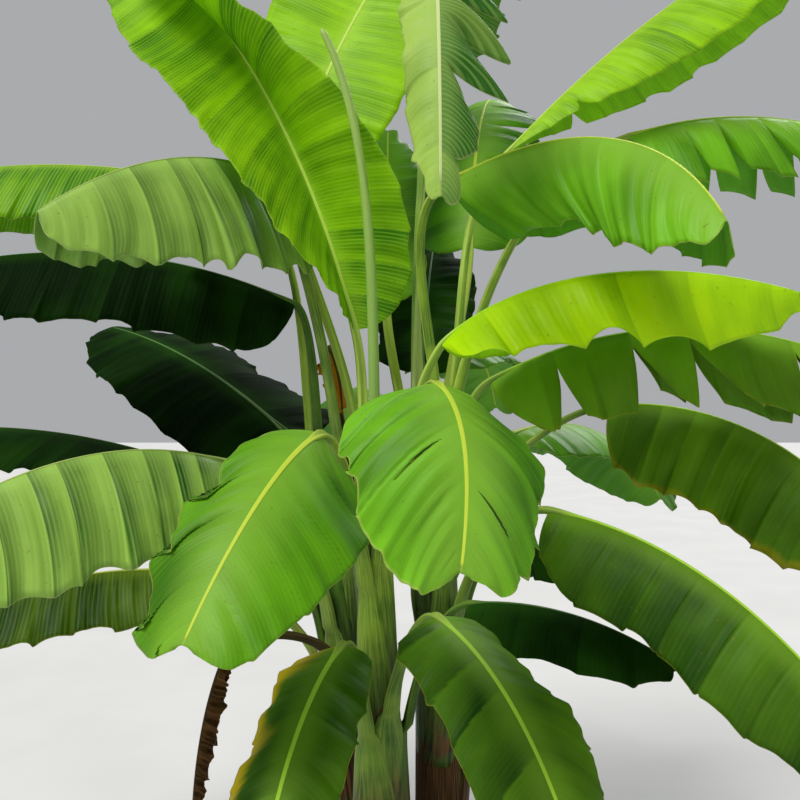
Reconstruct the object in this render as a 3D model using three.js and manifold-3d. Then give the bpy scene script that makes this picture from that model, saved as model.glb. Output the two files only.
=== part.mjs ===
import * as THREE from 'three';
import Module from 'manifold-3d';
import { mergeVertices } from 'three/addons/utils/BufferGeometryUtils.js';

// A banana plant in a plain round pot: three stems from one root, one rolled young leaf and a full crown
// of long-stalked leaves. Millimetres, +Z up, with the origin in the middle of the pot's flat underside.

const GAP = 0.3;
const POT = {
  height: 420, baseRadius: 205, neckRadius: 262, rimRadius: 282, innerRimRadius: 262,
  rimDepth: 52, wall: 15, floor: 24, edge: 5, sides: 40,
};
const DRAIN = { count: 3, radius: 10, circle: 110 };
const SOIL_TOP = 385;
const STEM_SIDES = 36;
const STEM_STEPS = 6;
const FLARE = { height: 110, extra: 12 };

// Each stem leans from its foot on the soil to its top, and thins on the way up
const STEMS = {
  front: { foot: [-40, -85], top: [-65, -60], height: 1300, footRadius: 78, topRadius: 34 },
  right: { foot: [115, 50], top: [70, 100], height: 1560, footRadius: 80, topRadius: 36 },
  left: { foot: [-120, 95], top: [-170, 130], height: 1300, footRadius: 66, topRadius: 32 },
};

// The rolled young leaf rises from the top of the front stem
const SPEAR = {
  start: [-58, -60, 1300], end: [-195, -75, 2520], rise: 92, lean: 118,
  footRadius: 16, tipRadius: 9, sides: 12, steps: 9,
};

// A stalk is oval, and its foot lies against the side of its stem
const STALK = {
  footWide: 15, footHigh: 15, endWide: 13, endHigh: 11, rise: 80, leave: 0.4, arrive: 0.26,
  steps: 5, seat: 0.5,
};

// A blade's rows as shares of its length, its columns as shares of one half, and the rib along its middle
const BLADE_ROWS = [0.04, 0.1, 0.18, 0.28, 0.4, 0.52, 0.64, 0.75, 0.85, 0.93, 1];
const BLADE_COLUMNS = [1, 0.55, 0, 0, -0.55, -1];
const RIB = { wideStart: 14, wideEnd: 5, deep: 1.7 };
const THINNESS = 100;
const WAVE_SHIFT = 0.3;
const TEAR = { halfWidth: 0.03, left: 0.22 };

// How fast each shape comes on: powers of the share of the way along or across
const EASE = { stem: 0.8, rings: 1.5, narrowing: 2.2, veins: 1.2, sweep: 1.6, wave: 1.5 };

const USUAL = {
  sweep: 0, bend: 1, roll: 0, rollTip: 0, hang: 25, curl: 20, shoulder: 0.2, slender: 1, full: 0.5,
  tip: 0.25, back: -10, ahead: 30, wave: 12, waves: 2, phase: 0, wideLeft: 1, wideRight: 1,
  wholeRight: false, tears: [],
};

const YOUNG = 'young';
const MATURE = 'mature';
const DULL = 'dull';
const SHADED = 'shaded';
const YELLOWED = 'yellowed';
const DEAD = 'dead';
const LEAF_COLOURS = {
  [YOUNG]: '#8fc718', [MATURE]: '#4f9a24', [DULL]: '#6d9a55', [SHADED]: '#2f5f22',
  [YELLOWED]: '#9aa63a', [DEAD]: '#6b4a2a',
};

// foot is the height on the stem and start is where the blade begins. The rib leaves start at azimuth
// and lift, turns by sweep and ends at droop, all in degrees. hang is how far each half falls below
// level, and split is the share of the blade at which the leaf is made in two pieces.
const LEAVES = [
  { name: 'upright_left', look: YOUNG, stem: 'front', foot: 1270, footAzimuth: 115,
    start: [-118, 50, 1784], azimuth: 150, sweep: 6, lift: 74, droop: 44, length: 1450, width: 560,
    shoulder: 0.3, roll: -15, rollTip: -115, hang: -42, hangRightTip: -110, curl: 0, wave: 8, wideLeft: 1.1,
    wideRight: 0.93 },
  { name: 'upright_back', look: YOUNG, stem: 'left', foot: 1270, footAzimuth: 15,
    start: [-300, 250, 2310], azimuth: 40, lift: 68, droop: 52, length: 1020, width: 500, roll: 32,
    rollTip: 32, hang: -10, curl: 0 },
  { name: 'arch_left', look: DULL, stem: 'left', foot: 1240, footAzimuth: 285,
    start: [-368, 172, 2219], azimuth: 250, sweep: -31, lift: 2, droop: -41, bend: 1.18,
    arrive: 0.1, length: 754, width: 550, hang: 62, hangLeft: 66, wideLeft: 1.15, back: -12,
    shoulderLeft: 0.09, fullLeft: 0.23, tipLeft: 0.18, roll: -1, rollTip: -11, split: 0 },
  { name: 'far_left', look: YOUNG, stem: 'left', foot: 1260, footAzimuth: 168,
    start: [-495, 300, 2210], azimuth: 187, lift: 15, droop: -15, length: 900, width: 480,
    hang: 50, split: 0 },
  { name: 'shade_left', look: SHADED, stem: 'left', foot: 1190, footAzimuth: 235,
    start: [-285, 132, 1862], azimuth: 187, lift: 25, droop: -20, length: 1060, width: 440, hang: 40,
    arrive: 0.1, shoulderLeft: 0.12, hangLeft: 62, split: 0 },
  { name: 'shade_back_left', look: SHADED, stem: 'left', foot: 1040, footAzimuth: 128,
    start: [-320, 260, 1500], azimuth: 137, lift: 30, droop: 10, length: 1080, width: 500,
    roll: -18, rollTip: -18, hang: 20 },
  { name: 'mid_left', look: DULL, stem: 'left', foot: 1000, footAzimuth: 235,
    start: [-431, -50, 1445], azimuth: 222, lift: 18, droop: -40, length: 800, width: 560,
    hang: 62, split: 0 },
  { name: 'mid_back_left', look: SHADED, stem: 'left', foot: 950, footAzimuth: 165,
    start: [-560, 200, 1404], azimuth: 173, lift: 20, droop: -5, length: 850, width: 420,
    hang: 30, split: 0 },
  { name: 'low_left', look: YELLOWED, stem: 'left', foot: 850, footAzimuth: 200,
    start: [-616, 100, 1144], azimuth: 190, lift: 5, droop: -30, length: 600, width: 360,
    hang: 45, split: 0 },
  { name: 'front_left', look: MATURE, stem: 'front', foot: 1150, footAzimuth: 245,
    start: [-176, -300, 1524], azimuth: 250, sweep: -10, lift: -2, droop: -54, bend: 0.53,
    length: 600, width: 430, roll: -32, rollTip: -11, hangLeft: 44, hangLeftTip: 12, hangRight: 13,
    hangRightTip: 22, wideLeft: 1.14, wideRight: 0.62, backLeft: -30, backRight: 26, aheadLeft: 18,
    shoulderLeft: 0.32, shoulderRight: 0.46, fullLeft: 0.2, fullRight: 0.79, tipLeft: 0.41,
    tipRight: 0.48, split: 0 },
  { name: 'front_centre', look: MATURE, stem: 'front', foot: 1210, footAzimuth: 285,
    start: [80, -350, 1636], azimuth: 282, sweep: -23, lift: -9, droop: -38, bend: 0.68,
    length: 664, width: 350, roll: -2, rollTip: -20, hangLeft: 18, hangRight: 14, hangRightTip: -22,
    wideRight: 1.41, backLeft: -17, backRight: 20, aheadLeft: 13, aheadRight: 58,
    shoulderLeft: 0.61, shoulderRight: 0.44, fullLeft: 0.45, fullRight: 0.21, tipLeft: 0.4,
    tipRight: 0.19, split: 0 },
  { name: 'skirt_left', look: SHADED, stem: 'front', foot: 800, footAzimuth: 245,
    start: [-130, -250, 1043], azimuth: 252, sweep: 12, lift: -10, droop: -65, length: 750,
    width: 240, hang: 20, split: 0 },
  { name: 'skirt_centre', look: MATURE, stem: 'front', foot: 850, footAzimuth: 298,
    start: [85, -250, 1107], azimuth: 298, sweep: -14, lift: -8, droop: -55, length: 780,
    width: 300, hang: 15, wideLeft: 0.85, split: 0 },
  { name: 'low_right', look: MATURE, stem: 'right', foot: 1000, footAzimuth: 317,
    start: [350, -200, 1344], azimuth: 322, sweep: -10, lift: -5, droop: -58, length: 880,
    width: 380, hang: 60, split: 0 },
  { name: 'mid_right', look: DULL, stem: 'right', foot: 1150, footAzimuth: 10,
    start: [582, 180, 1586], azimuth: 335, sweep: -30, lift: 5, droop: -62, length: 850,
    width: 500, hang: 65, split: 0 },
  { name: 'torn_right', look: SHADED, stem: 'right', foot: 1250, footAzimuth: 325,
    start: [231, 0, 1651], azimuth: 352, lift: 30, droop: -35, length: 1080, width: 460, hang: 70,
    tears: [0.16, 0.34, 0.47, 0.7], ahead: 45, split: 0 },
  { name: 'bright_right', look: YOUNG, stem: 'front', foot: 1280, footAzimuth: 340,
    start: [96, -200, 1728], azimuth: 351, lift: 55, droop: -18, bend: 0.55, length: 835,
    width: 470, hang: 30, hangRight: 40, hangRightTip: 85, wideRight: 0.79, backRight: 0,
    shoulder: 0.3, shoulderRight: 0.07, fullRight: 0.54, roll: -1, rollTip: 21, split: 0 },
  { name: 'arch_right', look: MATURE, stem: 'right', foot: 1390, footAzimuth: 296,
    start: [118, -20, 2152], azimuth: 324, sweep: -41, lift: 20, droop: -52, length: 915, width: 500,
    hang: 60, hangRight: 85, hangRightTip: 47, wideRight: 0.89, back: -12, backRight: 14,
    aheadRight: 45, shoulderRight: 0.16, fullRight: 0.43, tipRight: 0.16, roll: 14, rollTip: -3,
    split: 0 },
  { name: 'upright_right', look: YOUNG, stem: 'right', foot: 1530, footAzimuth: 0,
    start: [291, 300, 2299], azimuth: 15, lift: 48, droop: 28, length: 1450, width: 480, hang: 75,
    hangRight: 45, shoulder: 0.55, slender: 3, full: 0.6 },
  { name: 'torn_far_right', look: MATURE, stem: 'right', foot: 1450, footAzimuth: 325,
    start: [690, 400, 2400], azimuth: 7, lift: 20, droop: -20, length: 850, width: 520, hang: 60,
    tears: [0.2, 0.33, 0.5, 0.62, 0.78], ahead: 60, split: 0 },
  { name: 'overhead', look: MATURE, stem: 'right', foot: 1540, footAzimuth: 110, start: [70, 150, 2500],
    azimuth: 270, lift: 86, droop: -88, bend: 0.5, length: 1340, width: 340, hang: 20, hangLeft: 20,
    wideRight: 0.46, tears: [0.5, 0.58, 0.65, 0.72, 0.8], fullLeft: 0.42, hangRight: 50,
    fullRight: 0.72, wholeRight: true, hangRightTip: 20, wideLeft: 1.25, aheadLeft: 50, tipLeft: 0.14,
    tipRight: 0.3, split: 0.28 },
  { name: 'inner_back_low', look: SHADED, stem: 'right', foot: 1390, footAzimuth: 92,
    start: [60, 230, 1682], azimuth: 84, lift: 50, droop: 30, length: 700, width: 300, hang: 10 },
  { name: 'inner_back_high', look: MATURE, stem: 'right', foot: 1450, footAzimuth: 150,
    start: [-40, 300, 1891], azimuth: 90, lift: 70, droop: 50, length: 700, width: 220, hang: 10 },
  { name: 'low_centre', look: SHADED, stem: 'front', foot: 800, footAzimuth: 5,
    start: [170, -90, 1100], azimuth: 335, lift: 10, droop: -30, length: 500, width: 300, hang: 40 },
  { name: 'back_upright', look: MATURE, stem: 'right', foot: 1480, footAzimuth: 45,
    start: [210, 390, 2060], azimuth: 78, lift: 75, droop: 15, length: 1000, width: 440, hang: 20,
    tears: [0.35, 0.55, 0.72] },
  { name: 'back_centre', look: MATURE, stem: 'right', foot: 1290, footAzimuth: 120,
    start: [120, 430, 1720], azimuth: 72, lift: 30, droop: -50, length: 950, width: 380,
    hang: 25, split: 0 },
  { name: 'back_right', look: MATURE, stem: 'right', foot: 1150, footAzimuth: 65,
    start: [330, 330, 1500], azimuth: 42, lift: 15, droop: -50, length: 900, width: 420,
    hang: 30, split: 0 },
  { name: 'back_left', look: MATURE, stem: 'left', foot: 1130, footAzimuth: 92,
    start: [-110, 520, 1600], azimuth: 98, lift: 20, droop: -50, length: 900, width: 360,
    hang: 30, split: 0 },
  { name: 'back_low', look: MATURE, stem: 'left', foot: 850, footAzimuth: 88,
    start: [-150, 420, 1250], azimuth: 102, lift: 5, droop: -60, length: 750, width: 360,
    hang: 25, split: 0 },
  { name: 'back_low_right', look: SHADED, stem: 'right', foot: 900, footAzimuth: 40,
    start: [300, 260, 1180], azimuth: 20, lift: 0, droop: -55, length: 700, width: 360,
    hang: 30, split: 0 },
  { name: 'dead_left', look: DEAD, stem: 'left', foot: 900, footAzimuth: 240, start: [-440, -40, 960],
    azimuth: 200, lift: -60, droop: -88, bend: 0.5, length: 420, width: 90, hang: 50, wave: 0 },
  { name: 'withered_back', look: DEAD, stem: 'left', foot: 1220, footAzimuth: 52,
    start: [-200, 262, 1745], azimuth: 300, lift: -30, droop: -85, bend: 0.5, length: 200, width: 110,
    hang: 60, wave: 0 },
];

const radians = THREE.MathUtils.degToRad;
const mix = THREE.MathUtils.lerp;

function material(colour, roughness) {
  return new THREE.MeshStandardMaterial({ color: colour, roughness, metalness: 0 });
}

function heading(azimuth, elevation) {
  const level = Math.cos(elevation);
  return new THREE.Vector3(level * Math.cos(azimuth), level * Math.sin(azimuth), Math.sin(elevation));
}

// A closed body through rings of points. Each ring runs over its upper side and back along its lower
// side, and both sides are cut along the same diagonals, so a thin blade keeps its thickness.
function loft(rings) {
  const count = rings[0].length;
  const last = (rings.length - 1) * count;
  const index = [];
  for (let row = 0; row < last; row += count) {
    for (let i = 0; i < count; i += 1) {
      const a = row + i;
      const b = row + (i + 1) % count;
      if (i < count / 2) {
        index.push(a, b, b + count, a, b + count, a + count);
      } else {
        index.push(a, b, a + count, b, b + count, a + count);
      }
    }
  }
  for (let i = 0; i < count / 2 - 1; i += 1) {
    const j = count - 1 - i;
    index.push(i, j, j - 1, i, j - 1, i + 1);
    index.push(last + i, last + i + 1, last + j - 1, last + i, last + j - 1, last + j);
  }
  const geometry = new THREE.BufferGeometry();
  const positions = rings.flat().flatMap((point) => point.toArray());
  geometry.setAttribute('position', new THREE.Float32BufferAttribute(positions, 3));
  geometry.setIndex(index);
  geometry.computeVertexNormals();
  return geometry;
}

// One oval ring about a point, square to its direction
function oval(centre, frame, wide, high, sides) {
  const ring = [];
  for (let i = 0; i < sides; i += 1) {
    const angle = Math.PI * (1 - (2 * i + 1) / sides);
    ring.push(centre.clone()
      .addScaledVector(frame.side, -wide * Math.cos(angle))
      .addScaledVector(frame.up, high * Math.sin(angle)));
  }
  return ring;
}

function frameAlong(direction, azimuth, roll = 0) {
  const across = new THREE.Vector3(-Math.sin(azimuth), Math.cos(azimuth), 0);
  const up = new THREE.Vector3().crossVectors(direction, across).normalize();
  const side = new THREE.Vector3().crossVectors(up, direction);
  const turned = (a, b, sign) => a.clone().multiplyScalar(Math.cos(roll))
    .addScaledVector(b, sign * Math.sin(roll));
  return { direction, side: turned(side, up, 1), up: turned(up, side, -1) };
}

function stemAxis(stem, height) {
  const share = (height - SOIL_TOP) / (stem.height - SOIL_TOP);
  const x = mix(stem.foot[0], stem.top[0], share);
  const y = mix(stem.foot[1], stem.top[1], share);
  return new THREE.Vector3(x, y, height);
}

function taper(stem, height) {
  const above = height - SOIL_TOP;
  const share = above / (stem.height - SOIL_TOP);
  const flare = FLARE.extra * Math.max(0, 1 - above / FLARE.height) ** 2;
  return mix(stem.footRadius, stem.topRadius, share ** EASE.stem) + flare;
}

function stemHeights(stem) {
  const low = SOIL_TOP + GAP;
  return Array.from({ length: STEM_STEPS + 1 }, (_, step) => (
    mix(low, stem.height, (step / STEM_STEPS) ** EASE.rings)
  ));
}

// How far the many-sided stem reaches from its axis at a height, toward an azimuth
function stemReach(stem, height, azimuth) {
  const heights = stemHeights(stem);
  const above = heights.findIndex((value) => value >= height);
  const [low, high] = [heights[above - 1], heights[above]];
  const radius = mix(taper(stem, low), taper(stem, high), (height - low) / (high - low));
  const half = Math.PI / STEM_SIDES;
  const offMiddle = Math.abs(THREE.MathUtils.euclideanModulo(azimuth + half, 2 * half) - half);
  return radius * Math.cos(half) / Math.cos(offMiddle);
}

function makeStem(stem) {
  const upright = { side: new THREE.Vector3(0, 1, 0), up: new THREE.Vector3(-1, 0, 0) };
  const rings = stemHeights(stem).map((height) => {
    const radius = taper(stem, height);
    return oval(stemAxis(stem, height), upright, radius, radius, STEM_SIDES);
  });
  return loft(rings);
}

// A smooth curve between two points, with the directions at its ends
function easedCurve(from, fromDirection, to, toDirection, arrive = STALK.arrive) {
  const reach = from.distanceTo(to);
  return new THREE.CubicBezierCurve3(
    from,
    from.clone().addScaledVector(fromDirection, reach * STALK.leave),
    to.clone().addScaledVector(toDirection, -reach * arrive),
    to,
  );
}

// The foot stands a hair off the stem, with one flat side of the stalk toward it
function stalkFoot(leaf) {
  const stem = STEMS[leaf.stem];
  const azimuth = radians(leaf.footAzimuth);
  const flat = STALK.footHigh * Math.cos(Math.PI / (2 * BLADE_COLUMNS.length));
  const outward = stemReach(stem, leaf.foot, azimuth) + flat + STALK.seat;
  return {
    azimuth,
    point: stemAxis(stem, leaf.foot).addScaledVector(heading(azimuth, 0), outward),
    direction: heading(azimuth, radians(STALK.rise)),
  };
}

function stalkRings(leaf) {
  const start = new THREE.Vector3(...leaf.start);
  const foot = stalkFoot(leaf);
  const turn = THREE.MathUtils.euclideanModulo(leaf.azimuth - leaf.footAzimuth + 180, 360) - 180;
  const blade = heading(radians(leaf.azimuth), radians(leaf.lift));
  const curve = easedCurve(foot.point, foot.direction, start, blade, leaf.arrive);
  const rings = [];
  for (let step = 0; step <= STALK.steps; step += 1) {
    const share = step / STALK.steps;
    const azimuth = foot.azimuth + radians(turn * share);
    const frame = frameAlong(curve.getTangent(share), azimuth, radians(leaf.roll * share));
    const wide = mix(STALK.footWide, STALK.endWide, share);
    const high = mix(STALK.footHigh, STALK.endHigh, share);
    rings.push(oval(curve.getPoint(share), frame, wide, high, 2 * BLADE_COLUMNS.length));
  }
  return rings;
}

// A half's own value where the leaf gives one, or else the value for both halves
function ownOr(leaf, key, name) {
  return leaf[`${key}${name}`] ?? leaf[key];
}

// Half the blade's breadth beside its rib, as a share of its greatest half
function outline(leaf, name, share) {
  const [shoulder, full, tip] = ['shoulder', 'full', 'tip'].map((key) => ownOr(leaf, key, name));
  const early = Math.min(share / shoulder, 1);
  const late = Math.max((share - full) / (1 - full), 0);
  return Math.sqrt(1 - (1 - early) ** 2) ** leaf.slender * (1 - (1 - tip) * late ** EASE.narrowing);
}

function bladeRows(leaf) {
  const rows = BLADE_ROWS.map((share) => ({ share, kept: 1 }));
  for (const tear of leaf.tears) {
    rows.push({ share: tear - TEAR.halfWidth, kept: 1 });
    rows.push({ share: tear, kept: TEAR.left });
    rows.push({ share: tear + TEAR.halfWidth, kept: 1 });
  }
  rows.sort((a, b) => a.share - b.share);
  const far = (row) => leaf.tears.every((tear) => {
    const distance = Math.abs(row.share - tear);
    return distance < 1e-9 || distance > TEAR.halfWidth - 1e-9;
  });
  return rows.filter(far);
}

// One half's points across a row, from the rib to the margin
function halfRow(leaf, row, sign, point, frame, thick) {
  const name = sign > 0 ? 'Left' : 'Right';
  const hangStart = ownOr(leaf, 'hang', name);
  const hang = mix(hangStart, leaf[`hang${name}Tip`] ?? hangStart, row.share);
  const whole = sign < 0 && leaf.wholeRight;
  const breadth = outline(leaf, name, row.share) * (whole ? 1 : row.kept);
  const half = leaf.width / 2 * leaf[`wide${name}`] * breadth;
  const ribWide = mix(RIB.wideStart, RIB.wideEnd, row.share);
  const [back, ahead] = ['back', 'ahead'].map((key) => ownOr(leaf, key, name));
  const forward = Math.tan(radians(mix(back, ahead, row.share ** EASE.veins)));
  const turn = leaf.waves * row.share + leaf.phase + (sign > 0 ? WAVE_SHIFT : 0);
  const place = point.clone().addScaledVector(frame.side, sign * ribWide);
  const points = [{ place: place.clone(), normal: frame.up, thick: thick * RIB.deep }];
  let before = 0;
  for (const column of BLADE_COLUMNS.filter((value) => value > 0).reverse()) {
    const angle = radians(hang + leaf.curl * ((before + column) / 2 - 0.5));
    const across = frame.side.clone().multiplyScalar(sign * Math.cos(angle))
      .addScaledVector(frame.up, -Math.sin(angle));
    const normal = frame.up.clone().multiplyScalar(Math.cos(angle))
      .addScaledVector(frame.side, sign * Math.sin(angle));
    place.addScaledVector(across, half * (column - before));
    const lift = leaf.wave * column ** EASE.wave * Math.sin(2 * Math.PI * turn) * breadth;
    points.push({
      place: place.clone()
        .addScaledVector(frame.direction, forward * half * column ** EASE.sweep)
        .addScaledVector(normal, lift),
      normal,
      thick,
    });
    before = column;
  }
  return points;
}

function bladeRings(leaf) {
  const rings = [];
  const thick = leaf.length / THINNESS / 2;
  const steps = 200;
  const point = new THREE.Vector3(...leaf.start);
  const headingAt = (share) => {
    const elevation = mix(leaf.lift, leaf.droop, share ** leaf.bend);
    return heading(radians(leaf.azimuth + leaf.sweep * share), radians(elevation));
  };
  let walked = 0;
  for (const row of bladeRows(leaf)) {
    for (; walked < Math.round(row.share * steps); walked += 1) {
      point.addScaledVector(headingAt((walked + 0.5) / steps), leaf.length / steps);
    }
    const azimuth = radians(leaf.azimuth + leaf.sweep * row.share);
    const roll = radians(mix(leaf.roll, leaf.rollTip, row.share));
    const frame = frameAlong(headingAt(row.share), azimuth, roll);
    const left = halfRow(leaf, row, 1, point, frame, thick).reverse();
    const across = [...left, ...halfRow(leaf, row, -1, point, frame, thick)];
    const upper = across.map((p) => p.place.clone().addScaledVector(p.normal, p.thick));
    const lower = across.map((p) => p.place.clone().addScaledVector(p.normal, -p.thick));
    rings.push({ share: row.share, direction: frame.direction, points: [...upper, ...lower.reverse()] });
  }
  return rings;
}

function makeLeaf(given) {
  const leaf = { ...USUAL, ...given };
  const stalk = stalkRings(leaf);
  const blade = bladeRings(leaf);
  const parts = [];
  if (leaf.split === undefined) {
    parts.push([`leaf_${leaf.name}`, [...stalk, ...blade.map((ring) => ring.points)]]);
  } else if (leaf.split === 0) {
    const end = stalk.pop();
    const back = heading(radians(leaf.azimuth), radians(leaf.lift)).multiplyScalar(-GAP);
    parts.push([`stalk_${leaf.name}`, [...stalk, end.map((point) => point.clone().add(back))]]);
    parts.push([`blade_${leaf.name}`, [end, ...blade.map((ring) => ring.points)]]);
  } else {
    const at = blade.findIndex((ring) => ring.share >= leaf.split);
    const back = blade[at].direction.clone().multiplyScalar(-GAP);
    const near = blade.slice(0, at).map((ring) => ring.points);
    const end = blade[at].points.map((point) => point.clone().add(back));
    parts.push([`stalk_${leaf.name}`, [...stalk, ...near, end]]);
    parts.push([`blade_${leaf.name}`, blade.slice(at).map((ring) => ring.points)]);
  }
  const finish = material(LEAF_COLOURS[leaf.look], 0.5);
  return parts.map(([name, rings]) => named(name, loft(rings), finish));
}

function makeSpear() {
  const start = new THREE.Vector3(...SPEAR.start);
  start.z += GAP;
  const away = Math.PI;
  const curve = easedCurve(
    start,
    heading(0, radians(SPEAR.rise)),
    new THREE.Vector3(...SPEAR.end),
    heading(0, radians(SPEAR.lean)),
  );
  const rings = [];
  for (let step = 0; step <= SPEAR.steps; step += 1) {
    const share = step / SPEAR.steps;
    const level = { side: new THREE.Vector3(0, 1, 0), up: new THREE.Vector3(-1, 0, 0) };
    const frame = step === 0 ? level : frameAlong(curve.getTangent(share), away);
    const radius = mix(SPEAR.footRadius, SPEAR.tipRadius, share);
    rings.push(oval(curve.getPoint(share), frame, radius, radius, SPEAR.sides));
  }
  return loft(rings);
}

function lathe(profile) {
  const points = profile.map(([radius, height]) => new THREE.Vector2(radius, height));
  return new THREE.LatheGeometry(points, POT.sides).rotateX(Math.PI / 2);
}

function innerRadius(height) {
  const low = POT.baseRadius - POT.wall;
  return mix(low, POT.innerRimRadius, (height - POT.floor) / (POT.height - POT.floor));
}

function potBody() {
  return lathe([
    [0, 0],
    [POT.baseRadius - POT.edge, 0],
    [POT.baseRadius, POT.edge],
    [POT.neckRadius, POT.height - POT.rimDepth],
    [POT.rimRadius, POT.height - POT.rimDepth],
    [POT.rimRadius, POT.height - POT.edge],
    [POT.rimRadius - POT.edge, POT.height],
    [POT.innerRimRadius, POT.height],
    [innerRadius(POT.floor), POT.floor],
    [0, POT.floor],
  ]);
}

function soilBody() {
  const low = POT.floor + GAP;
  return lathe([
    [0, low],
    [innerRadius(low) - GAP, low],
    [innerRadius(SOIL_TOP) - GAP, SOIL_TOP],
    [0, SOIL_TOP],
  ]);
}

const wasm = await Module();
wasm.setup();

function toSolid(geometry) {
  const bare = geometry.clone();
  bare.deleteAttribute('normal');
  bare.deleteAttribute('uv');
  const merged = mergeVertices(bare);
  return new wasm.Manifold(new wasm.Mesh({
    numProp: 3,
    vertProperties: merged.getAttribute('position').array,
    triVerts: Uint32Array.from(merged.index.array),
  }));
}

function toGeometry(solid) {
  const mesh = solid.getMesh();
  const geometry = new THREE.BufferGeometry();
  geometry.setAttribute('position', new THREE.BufferAttribute(mesh.vertProperties, 3));
  geometry.setIndex(new THREE.BufferAttribute(mesh.triVerts, 1));
  geometry.computeVertexNormals();
  return geometry;
}

// Small drain holes off the middle of the floor
function drilled(geometry) {
  let solid = toSolid(geometry);
  for (let i = 0; i < DRAIN.count; i += 1) {
    const angle = 2 * Math.PI * i / DRAIN.count;
    const hole = new THREE.CylinderGeometry(DRAIN.radius, DRAIN.radius, 4 * POT.floor, 12)
      .rotateX(Math.PI / 2)
      .translate(DRAIN.circle * Math.cos(angle), DRAIN.circle * Math.sin(angle), 0);
    solid = solid.subtract(toSolid(hole));
  }
  return toGeometry(solid);
}

function named(name, geometry, finish) {
  const mesh = new THREE.Mesh(geometry, finish);
  mesh.name = name;
  return mesh;
}

const plant = new THREE.Group();
plant.add(named('pot', drilled(potBody()), material('#a9603c', 0.8)));
plant.add(named('soil', soilBody(), material('#3a2a1e', 0.95)));
for (const [name, stem] of Object.entries(STEMS)) {
  plant.add(named(`stem_${name}`, makeStem(stem), material('#6f8a3a', 0.6)));
}
plant.add(named('spear_leaf', makeSpear(), material('#a9cf6a', 0.5)));
for (const leaf of LEAVES) {
  plant.add(...makeLeaf(leaf));
}

export default plant;
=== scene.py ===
import math
from types import SimpleNamespace as Values

import bpy
import numpy as np
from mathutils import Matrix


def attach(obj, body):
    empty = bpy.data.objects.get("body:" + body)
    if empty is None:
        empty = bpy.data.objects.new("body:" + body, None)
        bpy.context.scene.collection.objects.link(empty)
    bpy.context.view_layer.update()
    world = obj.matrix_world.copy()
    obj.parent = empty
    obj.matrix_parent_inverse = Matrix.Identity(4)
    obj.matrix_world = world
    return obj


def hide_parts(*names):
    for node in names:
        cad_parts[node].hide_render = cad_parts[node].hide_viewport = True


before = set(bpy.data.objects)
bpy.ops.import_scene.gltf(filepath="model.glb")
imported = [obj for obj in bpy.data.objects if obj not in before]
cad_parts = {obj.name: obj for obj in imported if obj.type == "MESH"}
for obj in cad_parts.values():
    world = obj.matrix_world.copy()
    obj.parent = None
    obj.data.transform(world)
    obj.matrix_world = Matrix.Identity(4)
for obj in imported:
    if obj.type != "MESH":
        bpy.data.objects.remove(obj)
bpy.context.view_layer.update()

# The potted banana plant. The sizes are the part's own, in millimetres, but for six leaves that are set
# closer to the photograph: upright_back, torn_right, arch_right, upright_right, torn_far_right and overhead
MM = 0.001  # metres in a millimetre
SEED = 40
POT = Values(height=420, base=205, neck=262, rim=282, inner=262, rim_depth=52, wall=15, floor=24)
DRAIN = Values(count=3, radius=10, circle=110)
SOIL_TOP = 385
STEMS = {
    "front": Values(foot=(-40, -85), top=(-65, -60), height=1300, foot_radius=78, top_radius=34),
    "right": Values(foot=(115, 50), top=(70, 100), height=1560, foot_radius=80, top_radius=36),
    "left": Values(foot=(-120, 95), top=(-170, 130), height=1300, foot_radius=66, top_radius=32),
}
FLARE = Values(height=110, extra=12)
SPEAR = Values(start=(-58, -60, 1300), end=(-195, -75, 2520), rise=92, lean=118, foot_radius=16,
    tip_radius=9)
STALK = Values(foot_wide=15, foot_high=15, end_wide=13, end_high=11, rise=80, leave=0.4, arrive=0.26)
RIB = Values(wide_start=14, wide_end=5)
TEAR = Values(half_width=0.03, left=0.22)
# The photograph's camera: its place in metres, its focal length and picture in pixels, its sensor in mm
CAMERA = Values(place=(0, -2.2, 1.6), focal=858, picture=800, sensor=36)

# What a leaf has unless its own entry says otherwise. Its rib bends from lift to droop, turns by sweep and
# rolls. Its halves hang and curl from the rib, back and ahead lean their veins, and shoulder, slender, full
# and tip make their outline. tone, yellow and saw are for the skin: tone is its lightness, the leaf's own
# colour together with painted light and shade, and saw is painted shade of its folds, running from light to
# dark across each strip. scallop, step, folds, tears, gape, cuts and slits are for the strips and the
# margin. split is where the solid is parted: 0 where the blade begins, None where it isn't. A list of two
# holds what the left half has and what the right half has.
USUAL = dict(sweep=0, bend=1, roll=0, roll_tip=0, hang=25, curl=20, shoulder=0.2, slender=1, full=0.5,
    tip=0.25, back=-10, ahead=30, wave=12, tears=(), split=0, cuts=(), slits=(), folds=(),
    lean=0, scallop=1, step=0, gape=1, saw=1, arrive=STALK.arrive, tone=0.4, yellow=0.02, wide=1,
    whole=False, columns=12, hang_tip=None)


def frond(name, look, stem, foot, start, rib, size, **own):
    """A leaf: its foot is (height, azimuth), its rib (azimuth, lift, droop), its size (length, width)."""
    keys = ("foot", "foot_azimuth", "azimuth", "lift", "droop", "length", "width")
    given = dict(zip(keys, foot + rib + size), start=np.array(start, float))
    return Values(**{**USUAL, "skin": look, **given, **own, "name": name, "look": look, "stem": stem})
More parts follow.
